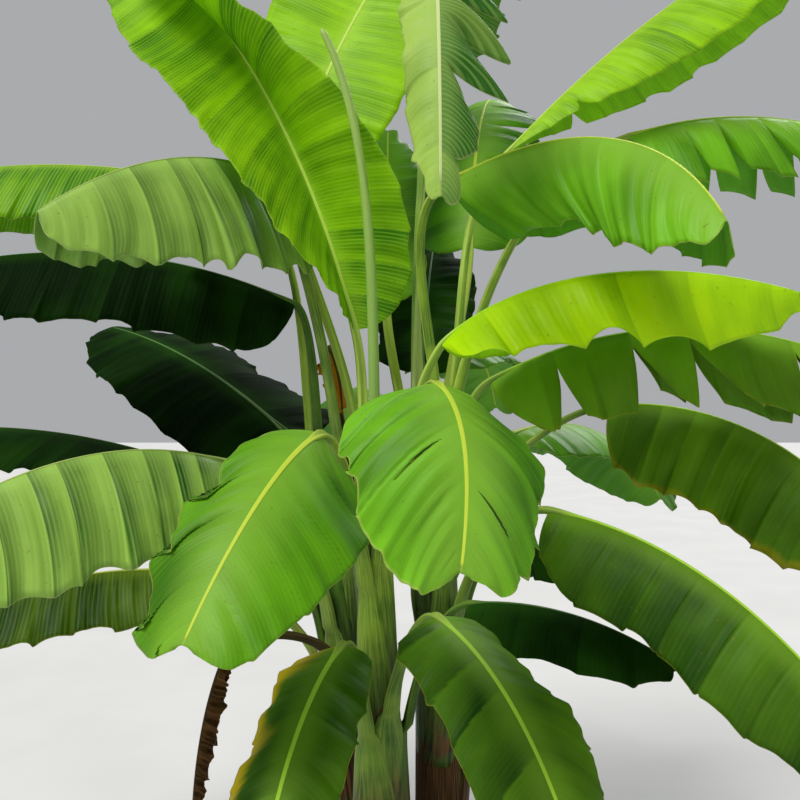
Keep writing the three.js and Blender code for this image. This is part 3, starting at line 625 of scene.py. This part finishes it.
class Tree:
    """A material's node tree, with short ways to add what the patterns need."""

    def __init__(self, name):
        self.material = bpy.data.materials.new(name)
        self.material.use_nodes = True
        self.tree = self.material.node_tree
        self.shader = self.tree.nodes["Principled BSDF"]
        self.output = self.tree.nodes["Material Output"]

    def add(self, kind, inputs=None, **settings):
        made = self.tree.nodes.new(kind)
        for key, value in settings.items():
            setattr(made, key, value)
        for key, value in (inputs or {}).items():
            self.put(made.inputs[key], value)
        return made

    def put(self, socket, value):
        if isinstance(value, bpy.types.NodeSocket):
            self.tree.links.new(value, socket)
        else:
            socket.default_value = colour(value) if isinstance(value, str) else value

    def math(self, operation, *values):
        return self.add("ShaderNodeMath", dict(enumerate(values)), operation=operation).outputs[0]

    def times(self, a, b):
        return self.math("MULTIPLY", a, b)

    def plus(self, a, b):
        return self.math("ADD", a, b)

    def split(self, vector):
        return self.add("ShaderNodeSeparateXYZ", {0: vector}).outputs

    def join(self, x, y, z=0):
        return self.add("ShaderNodeCombineXYZ", {0: x, 1: y, 2: z}).outputs[0]

    def uv(self, name):
        return self.split(self.add("ShaderNodeUVMap", uv_map=name).outputs[0])[:2]

    def here(self):
        return self.add("ShaderNodeTexCoord").outputs["Object"]

    def noise(self, vector, scale=1, detail=2, roughness=0.5, distortion=0):
        inputs = {"Vector": vector, "Scale": scale, "Detail": detail, "Roughness": roughness,
                  "Distortion": distortion}
        return self.add("ShaderNodeTexNoise", inputs).outputs[0]

    def streaks(self, x, y, x_scale, y_scale, level=0, detail=3, **settings):
        """A noise drawn out one way: the finer scale is across the streaks."""
        drawn_out = self.join(self.times(x, x_scale), self.times(y, y_scale), level)
        return self.noise(drawn_out, detail=detail, **settings)

    def range(self, value, low=0.3, high=0.7, to_low=0, to_high=1):
        inputs = {0: value, 1: low, 2: high, 3: to_low, 4: to_high}
        return self.add("ShaderNodeMapRange", inputs, interpolation_type="SMOOTHSTEP").outputs[0]

    def blend(self, share, a, b):
        return self.add("ShaderNodeMix", {0: share, 6: a, 7: b}, data_type="RGBA").outputs[2]

    def paint(self, body, *coats):
        """The body with each coat over the last, given as how strong it is and its colour."""
        for strength, coat in coats:
            body = self.blend(strength, body, coat)
        return body

    def bump(self, height, strength, distance):
        inputs = {"Height": height, "Strength": strength, "Distance": distance}
        return self.add("ShaderNodeBump", inputs).outputs[0]

    def finish(self, body, rough, height=None, bump=(), **values):
        """Sets the body's colour, its roughness and the bump of a height, and gives the material."""
        if height is not None:
            values["Normal"] = self.bump(height, *bump)
        for key, value in dict(values, Base_Color=body, Roughness=rough).items():
            self.put(self.shader.inputs[key.replace("_", " ")], value)
        return self.material


# The colour of the painted shade along a slit, for the shadow seen in it
SLIT_SHADE = "1A2A08"
SKIN_GLOSS = 0.25

# A skin's colours: dark to light by tone, line for veins and the halo beside the rib, edge for the hairline
# at the margin, aged for its yellow band, burnt for dry spots, through for light that comes through, under
# for the underside, and then a stalk's own four. The numbers say how close and how strong each pattern is.
SKIN_COLOURS = ("dark", "light", "line", "edge", "burnt", "aged", "through", "under")
SKIN_USUAL = dict(spacing=0.0098, halo=0.05, glow=0.3, rim=0.5, rough=0.46, gloss=0.2, stalk_rough=0.46)


def skin(colours, **own):
    colours = colours.split()
    return Values(**{**dict(zip(SKIN_COLOURS, colours)), "stalk": colours[8:], **SKIN_USUAL, **own})


SKINS = {
    "young": skin("3C8604 B4EC08 C4EC40 B8DC48 7A5A22 C8C030 B8F00A 86B82A 6E9A1C 98BE2E C2DA64 C8E858",
        broad=40, soft=0.2, vein=0.22, pins=0.4, glow=0.4, rim=0.4, gloss=0.18, passing=0.34),
    # bright is a young leaf's yellow-green raised to painted light, the glow of light shining through it
    "bright": skin("74B804 D8FF04 CCF824 C0EC50 7A5A22 C8D040 B8F800 8CC82A 6E9A1C 98BE2E C2DA64 B0EC30",
        broad=20, soft=0.14, vein=0.1, pins=0.1, spacing=0.012, glow=0.2, rough=0.42, passing=0.34),
    "mature": skin("1F5C05 84D01C A4D844 B8D05C 6E4E20 B8A828 90E408 5E9440 45721A 7CA02C BCD050 CCE040",
        broad=14, soft=0.16, vein=0.16, pins=0.14, spacing=0.0105, halo=0.12, glow=0.6, rim=0.7,
        rough=0.44, passing=0.28),
    "deep": skin("163F04 7CB41C 8CBC34 A8B848 8A7A24 CCB01C 84CC0A 4A7A2C 35601A 6C902C A0B84C ACDC30",
        broad=9, soft=0.1, vein=0.05, pins=0.04, spacing=0.0115, halo=0.06, glow=0.4, rim=0.35,
        rough=0.5, gloss=0.12, passing=0.2),
    "dull": skin("1A5604 B0DC5C B8E070 C4D490 6E4E20 B0B440 90D422 7A9E60 456C1E 749434 B8CC68 B0C868",
        broad=12, soft=0.19, vein=0.2, pins=0.3, rim=0.7, rough=0.42, gloss=0.25, passing=0.22),
    "pale": skin("2C6A1C C0E060 BCE074 C4D888 8A6A3A C0B860 A8E050 86AC60 5A8A24 8CAC3C C8D888 D4E498",
        broad=14, soft=0.14, vein=0.2, pins=0.3, passing=0.3),
    "shaded": skin("0A1C06 316414 336818 3C5C20 2A1E10 5A6A20 44900A 1E3A14 1E3E0C 46701A 6A8A2E 44702A",
        broad=9, soft=0.08, vein=0.08, pins=0.05, spacing=0.012, glow=0.2, rim=0.2, rough=0.62,
        gloss=0.02, passing=0.1, stalk_rough=0.5),
    "yellowed": skin(
        "1C4006 7CA024 8CA834 B4BC4C 6A4E1E ACB02C A0C414 6E8C34 4E7820 84A038 B4BC5C B4C448", broad=18,
        soft=0.16, vein=0.2, pins=0.2, spacing=0.0105, rough=0.5, gloss=0.15, passing=0.24,
        stalk_rough=0.5),
    "dead": skin("2A190C 7A5428 8C6838 8A6A3A 1E1208 D08A14 7A5020 5A3E22 241C0C 3C3418 544628 4A3A20",
        broad=30, soft=0.25, vein=0.4, pins=0.2, spacing=0.014, glow=0.1, rough=0.75, gloss=0.1,
        passing=0.1, stalk_rough=0.8),
}


def blade_material(name, look, under):
    """A blade's skin: fine veins, pinstripes, a pale hairline edge, and yellowed or burnt margins."""
    tree = Tree(name)
    along, signed = tree.uv("veins")
    tone, out = tree.uv("place")
    yellow, _ = tree.uv("age")
    seam, opened = tree.uv("seam")
    soft, line, rough = look.soft, look.line, look.rough
    beside = tree.math("MAXIMUM", tree.math("ABSOLUTE", signed), 0.02)
    inward = tree.math("SUBTRACT", tree.math("DIVIDE", out, beside), out)
    fine = tree.streaks(along, signed, 230, 1.4, roughness=0.6)
    broad = tree.streaks(along, signed, look.broad, 0.8, 4, detail=1.5)
    wobble = tree.streaks(along, signed, 9, 1, 6, detail=1)
    wander = tree.streaks(along, signed, 15, 2, 9)
    drift = tree.streaks(along, signed, 7, 0.5, 2, detail=1)
    patch = tree.noise(tree.here(), scale=5, detail=3)
    specks = tree.noise(tree.here(), scale=95, detail=1)
    turn = tree.times(along, 2 * math.pi / look.spacing)
    beat = tree.math("SINE", tree.plus(turn, tree.times(wobble, 7)))
    # The tone brings the leaf's painted light and shade; the broad and patch noises vary it at random
    shade = tree.plus(tone, tree.range(broad, 0.25, 0.75, -soft, soft))
    shade = tree.plus(shade, tree.range(patch, 0.3, 0.7, -soft, soft))
    shade = tree.math("MINIMUM", tree.math("MAXIMUM", shade, 0), 1)
    reach = tree.times(yellow, tree.range(drift, 0.3, 0.75, 0.03, 0.17))
    reach = tree.plus(reach, tree.times(yellow, tree.range(fine, 0.3, 0.7, 0, 0.03)))
    aged = tree.range(tree.math("DIVIDE", inward, tree.plus(reach, 0.0006)), 0.15, 1.25,
                      tree.range(yellow, 0, 0.5, 0.15, 0.9), 0)
    dry = tree.math("SUBTRACT", inward, tree.times(yellow, 0.012))
    burnt = tree.times(tree.range(wander, 0.62, 0.7), tree.range(dry, 0.0005, 0.003, 0.9, 0))
    body = tree.paint(
        tree.blend(shade, look.dark, look.light),
        (tree.range(beat, 0, 1, 0, look.pins), line),
        (tree.range(fine, 0.45, 0.75, 0, look.vein), line),
        (tree.range(out, 0.004, look.halo, look.glow, 0), line),
        (aged, look.aged),
        (tree.range(inward, 0.0004, 0.0024, look.rim, 0), look.edge),
        (burnt, look.burnt),
        (tree.range(specks, 0.72, 0.77, 0, 0.35), look.burnt),
    )
    if under:
        body = tree.blend(0.4, body, look.under)
    # Painted shade along each slit: dark green for the shadow in it, round the gap where it is cut open
    past = tree.math("SUBTRACT", tree.math("ABSOLUTE", seam), opened)
    slit_shade = tree.times(tree.range(opened, 0.0002, 0.0012), tree.range(past, 0, 0.0018, 0.95, 0))
    body = tree.blend(slit_shade, body, SLIT_SHADE)
    height = tree.plus(tree.times(fine, 0.6), tree.times(beat, look.pins * 0.4))
    normal = tree.bump(height, 0.4, 0.0008)
    tree.finish(body, tree.range(fine, 0.3, 0.7, rough - 0.05, rough + 0.07), Normal=normal,
                Specular_IOR_Level=look.gloss)
    lit = {"Color": tree.blend(0.6, body, look.through), "Normal": normal}
    through = tree.add("ShaderNodeBsdfTranslucent", lit).outputs[0]
    both = tree.add("ShaderNodeMixShader", {0: look.passing, 1: tree.shader.outputs[0], 2: through})
    tree.put(tree.output.inputs["Surface"], both.outputs[0])
    return tree.material


def sheath_colour(tree, fibres, blotch):
    """The stem's own colours, with how dry it is there: green above, brown and papery toward the soil."""
    height = tree.split(tree.here())[2]
    green = tree.blend(tree.range(fibres), "1C3208", "4A621E")
    brown = tree.blend(tree.range(fibres, 0.35, 0.7), "24160A", "6A4A26")
    dry = tree.range(tree.plus(blotch, tree.range(height, 0.42, 1.15, 0.26, -0.16)), 0.5, 0.62)
    return tree.blend(dry, green, brown), dry


def stalk_material(name, look):
    """A stalk's skin: fine lines, pale lips at its groove, and the stem's colours on its sheath."""
    tree = Tree(name)
    low, high, edge, rib = look.stalk
    rough = look.stalk_rough
    around, along = tree.uv("run")
    part, _ = tree.uv("part")
    lines = tree.streaks(around, along, 46, 9)
    patch = tree.noise(tree.here(), scale=9, detail=3)
    blotch = tree.noise(tree.here(), scale=7, detail=4, roughness=0.65)
    lip = tree.math("ABSOLUTE", tree.math("SUBTRACT", around, 0.25))
    body = tree.paint(
        tree.blend(tree.range(patch, 0.35, 0.65), low, high),
        (tree.range(lines, 0.35, 0.7, 0, 0.5), edge),
        (tree.range(lip, 0.2, 0.26, 0.75, 0), edge),
        (tree.math("MAXIMUM", part, 0), tree.blend(tree.range(lines, 0.35, 0.7, 0, 0.35), rib, edge)),
        (tree.range(part, -0.85, -0.2, 1, 0), sheath_colour(tree, lines, blotch)[0]),
    )
    return tree.finish(body, tree.range(lines, 0.3, 0.7, rough, rough + 0.12), lines, (0.5, 0.0012),
                       Specular_IOR_Level=SKIN_GLOSS)


def stem_material():
    """Wrapped sheaths: fine fibres, with brown blotches where they are dry."""
    tree = Tree("stem_sheaths")
    around, height = tree.uv("run")
    fibres = tree.streaks(around, height, 260, 5, detail=4, roughness=0.6)
    blotch = tree.streaks(around, height, 14, 4.5, 3, detail=4, roughness=0.65, distortion=0.4)
    body, dry = sheath_colour(tree, fibres, blotch)
    return tree.finish(body, tree.range(dry, 0, 1, 0.42, 0.85), tree.plus(fibres, dry), (0.6, 0.002),
                       Specular_IOR_Level=SKIN_GLOSS)


def spear_material():
    """The rolled leaf's skin: paler toward its tip, with fine lines along it."""
    tree = Tree("rolled_leaf_skin")
    around, along = tree.uv("run")
    lines = tree.streaks(around, along, 60, 4)
    body = tree.paint(tree.blend(tree.range(along, 1.3, 2.5), "78A43A", "9CC04E"),
                      (tree.range(lines, 0.35, 0.7, 0, 0.5), "B8D080"))
    return tree.finish(body, tree.range(lines, 0.3, 0.7, 0.4, 0.55), lines, (0.5, 0.001))


def pot_material():
    """Fired clay: fine grit, turning lines, darker near the foot and a pale bloom in patches."""
    tree = Tree("fired_clay")
    here = tree.here()
    z = tree.split(here)[2]
    grit = tree.noise(here, scale=420, detail=3)
    cloud = tree.noise(here, scale=9, detail=5, roughness=0.6)
    bloom = tree.noise(here, scale=17, detail=6, roughness=0.7)
    turning = tree.noise(tree.join(0, 0, tree.times(z, 160)), detail=2)
    body = tree.paint(
        tree.blend(tree.range(cloud), "9C5232", "C07A50"),
        (tree.range(turning, 0.35, 0.65, 0, 0.25), "8A482C"),
        (tree.range(bloom, 0.55, 0.72, 0, 0.5), "D8B79C"),
        (tree.range(z, 0, 0.09, 0.45, 0), "6E4630"),
        (tree.range(grit, 0.6, 0.75, 0, 0.5), "7A4028"),
    )
    height = tree.plus(tree.times(grit, 0.5), turning)
    return tree.finish(body, tree.range(cloud, 0.3, 0.7, 0.78, 0.92), height, (0.45, 0.0012))


def soil_material():
    """Damp potting soil: dark crumbs with drier, paler patches."""
    tree = Tree("potting_soil")
    here = tree.here()
    crumbs = tree.noise(here, scale=150, detail=5, roughness=0.7)
    cloud = tree.noise(here, scale=14, detail=4)
    body = tree.paint(tree.blend(tree.range(crumbs), "1E140C", "4A3524"),
                      (tree.range(cloud, 0.4, 0.7, 0, 0.5), "5C4530"))
    return tree.finish(body, tree.range(crumbs, 0.3, 0.7, 0.88, 1), crumbs, (0.8, 0.004))


def floor_material():
    tree = Tree("pale_floor")
    grain = tree.noise(tree.here(), scale=1.5, detail=2)
    return tree.finish(tree.blend(tree.range(grain), "CFCECB", "D4D3D0"), 0.8)


BLADE_MATERIALS = {
    key: [blade_material(f"blade_{key}", look, False), blade_material(f"blade_{key}_below", look, True)]
    for key, look in SKINS.items()
}
STALK_MATERIALS = {key: stalk_material(f"stalk_{key}", look) for key, look in SKINS.items()}
STEM_MATERIAL = stem_material()


# The pot and its soil

POT_SIDES = 160
SOIL_SIDES = 150
# The radius of each rolled edge of the pot, from its foot to the inside of its rim
ROLL = Values(foot=5, under=4, top=7, inner=6)
# The soil's waves, as (how close, how high), and how it heaps beside a stem
SOIL_WAVES = ((0.02, 1.6), (0.03, 1.6), (0.06, 1.2), (0.09, 1.0), (0.15, 0.8), (0.22, 0.8), (0.3, 0.6),
              (0.4, 0.6), (0.5, 0.5), (0.6, 0.5))
SOIL = Values(low=60, low_radius=150, bend=340, edge=368, rings=74, share=0.55, sunk=3, highest=2.5,
            heap=5, heap_width=18)


def lathe(name, profile, sides, material, shaped=None):
    """A closed body turned round the axis, from (radius, height) points that start and end on it."""
    angles = np.arange(sides) * 2 * np.pi / sides
    rings = np.array([[(r * math.cos(a), r * math.sin(a), z) for a in angles] for r, z in profile[1:-1]])
    if shaped is not None:
        rings = shaped(rings)
    faces = grid_faces(len(rings), sides, wrap=True)
    low = len(rings) * sides
    points = np.concatenate([rings.reshape(-1, 3), [[0, 0, profile[0][1]], [0, 0, profile[-1][1]]]])
    last = low - sides
    for i in range(sides):
        j = (i + 1) % sides
        faces.append([low, j, i])
        faces.append([low + 1, last + i, last + j])
    return make_mesh(name, points, faces, [material])


def arc(centre, radius, start, end, count):
    return [(centre[0] + radius * math.cos(math.radians(a)), centre[1] + radius * math.sin(math.radians(a)))
            for a in np.linspace(start, end, count)]


def drill(pot, angle):
    """A drain hole through the pot's floor."""
    place = (DRAIN.circle * MM * math.cos(angle), DRAIN.circle * MM * math.sin(angle), 0)
    bpy.ops.mesh.primitive_cylinder_add(vertices=24, radius=DRAIN.radius * MM, depth=0.1, location=place)
    bit = bpy.context.object
    cut = pot.modifiers.new("drain", "BOOLEAN")
    cut.operation, cut.object, cut.solver = "DIFFERENCE", bit, "EXACT"
    bpy.context.view_layer.update()
    holed = bpy.data.meshes.new_from_object(pot.evaluated_get(bpy.context.evaluated_depsgraph_get()))
    pot.modifiers.clear()
    pot.data = holed
    bpy.data.objects.remove(bit)


def build_pot():
    base, neck, rim, inner, top = POT.base, POT.neck, POT.rim, POT.inner, POT.height
    floor, floor_radius = POT.floor, base - POT.wall
    rim_low = top - POT.rim_depth
    edge = top - ROLL.top
    profile = [(0, 0), (base - 40, 0), (base - 6, 0)]
    profile += arc((base - ROLL.foot, ROLL.foot), ROLL.foot, -75, -5, 5)
    profile += [(mix(base, neck, s) + 0.35 * math.sin(s * 190), mix(6, rim_low - 4, s))
                for s in np.linspace(0, 1, 70)]
    profile += [(neck + 1.5, rim_low - 1), (neck + 5, rim_low), (rim - 5, rim_low)]
    profile += arc((rim - ROLL.under, rim_low + ROLL.under), ROLL.under, -70, -10, 4)
    profile += [(rim + 0.3 * math.sin(s * 31), mix(rim_low + 5, edge, s)) for s in np.linspace(0, 1, 12)]
    profile += arc((rim - ROLL.top, edge), ROLL.top, 5, 90, 7)
    profile += arc((inner + ROLL.inner, top - ROLL.inner), ROLL.inner, 95, 170, 6)
    profile += [(mix(inner, floor_radius, s), mix(edge, floor, s)) for s in np.linspace(0, 1, 26)]
    profile += [(floor_radius - 30, floor), (0, floor)]
    pot = lathe("clay_pot", profile, POT_SIDES, pot_material())
    for i in range(DRAIN.count):
        drill(pot, 2 * math.pi * i / DRAIN.count)
    finish_piece(pot, "pot", "pot")


def build_soil():
    rng = np.random.default_rng(SEED)
    floor_radius = POT.base - POT.wall
    filled = (SOIL_TOP - POT.floor) / (POT.height - POT.floor)
    edge = mix(floor_radius, POT.inner, filled) - 1
    waves = [(rng.uniform(-1, 1, 2) * k, rng.uniform(0, 6.28), h) for k, h in SOIL_WAVES for _ in range(2)]

    def uneven(rings):
        x, y, z = np.moveaxis(rings, -1, 0)
        height = sum(h * np.sin(x * k[0] + y * k[1] + p) for k, p, h in waves)
        height = height * SOIL.share - SOIL.sunk
        for stem in STEMS.values():
            away = np.hypot(x - stem.foot[0], y - stem.foot[1]) - stem.foot_radius
            height = height + SOIL.heap * np.exp(-np.clip(away, 0, None) / SOIL.heap_width)
        height = np.minimum(height, SOIL.highest)
        return np.stack([x, y, np.where(z > SOIL_TOP - 0.01, z + height, z)], -1)

    profile = [(0, SOIL.low), (SOIL.low_radius, SOIL.low), (edge - 6, SOIL.bend), (edge, SOIL.edge)]
    profile += [(edge * (1 - s), SOIL_TOP) for s in np.linspace(0, 0.985, SOIL.rings)]
    profile.append((0, SOIL_TOP - SOIL.sunk))
    finish_piece(lathe("pot_soil", profile, SOIL_SIDES, soil_material(), uneven), "soil", "soil")


# Stems and the rolled leaf

STEM_SIDES = 72
STEM_RINGS = 150
STEM_FOOT_DEPTH = 12
DOME = Values(below=6, height=22, rings=9)
SHEATH_EDGES = 5
SPEAR_SIDES = 28
SPEAR_RINGS = 140


def build_stem(name, stem, index):
    rng = np.random.default_rng(SEED + 100 + index)
    top = stem.height
    shoulder = top - DOME.below
    dome = shoulder + DOME.height * np.sin(np.linspace(0.1, 1.55, DOME.rings))
    heights = np.concatenate([np.linspace(SOIL_TOP - STEM_FOOT_DEPTH, shoulder, STEM_RINGS), dome])
    angles = np.arange(STEM_SIDES) * 2 * np.pi / STEM_SIDES
    axis = stem_axis(stem, heights)
    over = np.clip((heights - shoulder) / DOME.height, 0, 1)
    radius = stem_radius(stem, np.clip(heights, SOIL_TOP, top)) * np.sqrt(np.clip(1 - over ** 2, 0.0004, 1))
    rings = []
    seams = [(rng.uniform(0, 2 * np.pi), rng.uniform(-1.2, 1.2), rng.uniform(1.5, 2.6))
             for _ in range(SHEATH_EDGES)]
    for k, height in enumerate(heights):
        share = (height - SOIL_TOP) / (top - SOIL_TOP)
        bump = 0.35 * np.sin(angles * 31 + 3 * share) + 0.25 * np.sin(angles * 23 - 5 * share)
        for start, slant, proud in seams:
            turned = (angles - start - slant * share * 2.2) % (2 * np.pi)
            bump = bump + proud * (np.exp(-turned / 0.5) - 0.3)
        r = radius[k] + bump * (1 - over[k])
        rings.append(axis[k] + np.stack([r * np.cos(angles), r * np.sin(angles), 0 * angles], -1))
    uv = {"run": pair(np.tile(angles * 0.06, len(heights)), np.repeat(heights * MM, STEM_SIDES))}
    piece = make_mesh("sheathed_stem_" + name, *tube(rings), [STEM_MATERIAL], uv)
    finish_piece(piece, "stem", "stem_" + name)


def build_spear():
    share = np.linspace(0, 1, SPEAR_RINGS)
    start, end = np.array(SPEAR.start, float), np.array(SPEAR.end, float)
    first, last = heading(0, np.radians(SPEAR.rise)), heading(0, np.radians(SPEAR.lean))
    place, slope = eased(start, first, end, last, share)
    side, up = frame_along(slope, np.full(len(share), math.pi), np.zeros(len(share)))
    angles = np.arange(SPEAR_SIDES) * 2 * np.pi / SPEAR_SIDES
    rings = []
    for k, s in enumerate(share):
        ending = math.sqrt(max(1 - max(s - 0.985, 0) / 0.0152, 0.02))
        turned = (angles + 9 * s) % (2 * np.pi)
        r = mix(SPEAR.foot_radius, SPEAR.tip_radius, s) * ending
        r = r * (0.9 + 0.14 * turned / (2 * np.pi)) + 0.2 * np.sin(angles * 9)
        across, above = (r * np.cos(angles))[:, None], (r * np.sin(angles))[:, None]
        rings.append(place[k] + side[k] * across + up[k] * above)
    uv = {"run": pair(np.tile(angles / 6.28, len(share)), np.repeat(place[:, 2] * MM, SPEAR_SIDES))}
    piece = make_mesh("rolled_leaf", *tube(rings), [spear_material()], uv)
    finish_piece(piece, "rolled_leaf", "spear_leaf")


# The whole plant

def build_plant():
    build_pot()
    build_soil()
    for index, (name, stem) in enumerate(STEMS.items()):
        build_stem(name, stem, index)
    build_spear()
    for index, leaf in enumerate(LEAVES):
        above = [other for other in LEAVES if other.stem == leaf.stem and other.foot > leaf.foot]
        leaf.layer, leaf.offset = 1 + LAYER * len(above), index * OFFSET_STEP
        build_leaf(leaf, index)


def sun(name, toward, strength, spread):
    """A soft light from one side: toward points from the plant to it."""
    data = bpy.data.lights.new(name, "SUN")
    data.energy, data.angle = strength, math.radians(spread)
    x, y, z = toward
    link(name, data).rotation_euler = (math.atan2(math.hypot(x, y), z), 0, math.atan2(y, x) + math.pi / 2)


def build_studio():
    bpy.ops.mesh.primitive_plane_add(size=60, location=(0, 0, -0.0005))
    floor = bpy.context.object
    floor.name = "studio_floor"
    floor.data.materials.append(floor_material())
    scene = bpy.context.scene
    scene.world = bpy.data.worlds.new("studio")
    scene.world.use_nodes = True
    background = scene.world.node_tree.nodes["Background"].inputs
    background["Color"].default_value = (0.95, 0.97, 1.0, 1)
    background["Strength"].default_value = 0.42
    sun("above", (-0.45, -0.5, 1.0), 2.15, 26)
    sun("behind", (0.5, 0.9, 0.9), 1.25, 24)
    scene.view_settings.view_transform = "Standard"
    camera = link("camera", bpy.data.cameras.new("camera"))
    camera.location = CAMERA.place
    camera.rotation_euler = (math.pi / 2, 0, 0)
    camera.data.sensor_width = CAMERA.sensor
    camera.data.lens = CAMERA.focal / CAMERA.picture * CAMERA.sensor
    scene.camera = camera


build_studio()
build_plant()
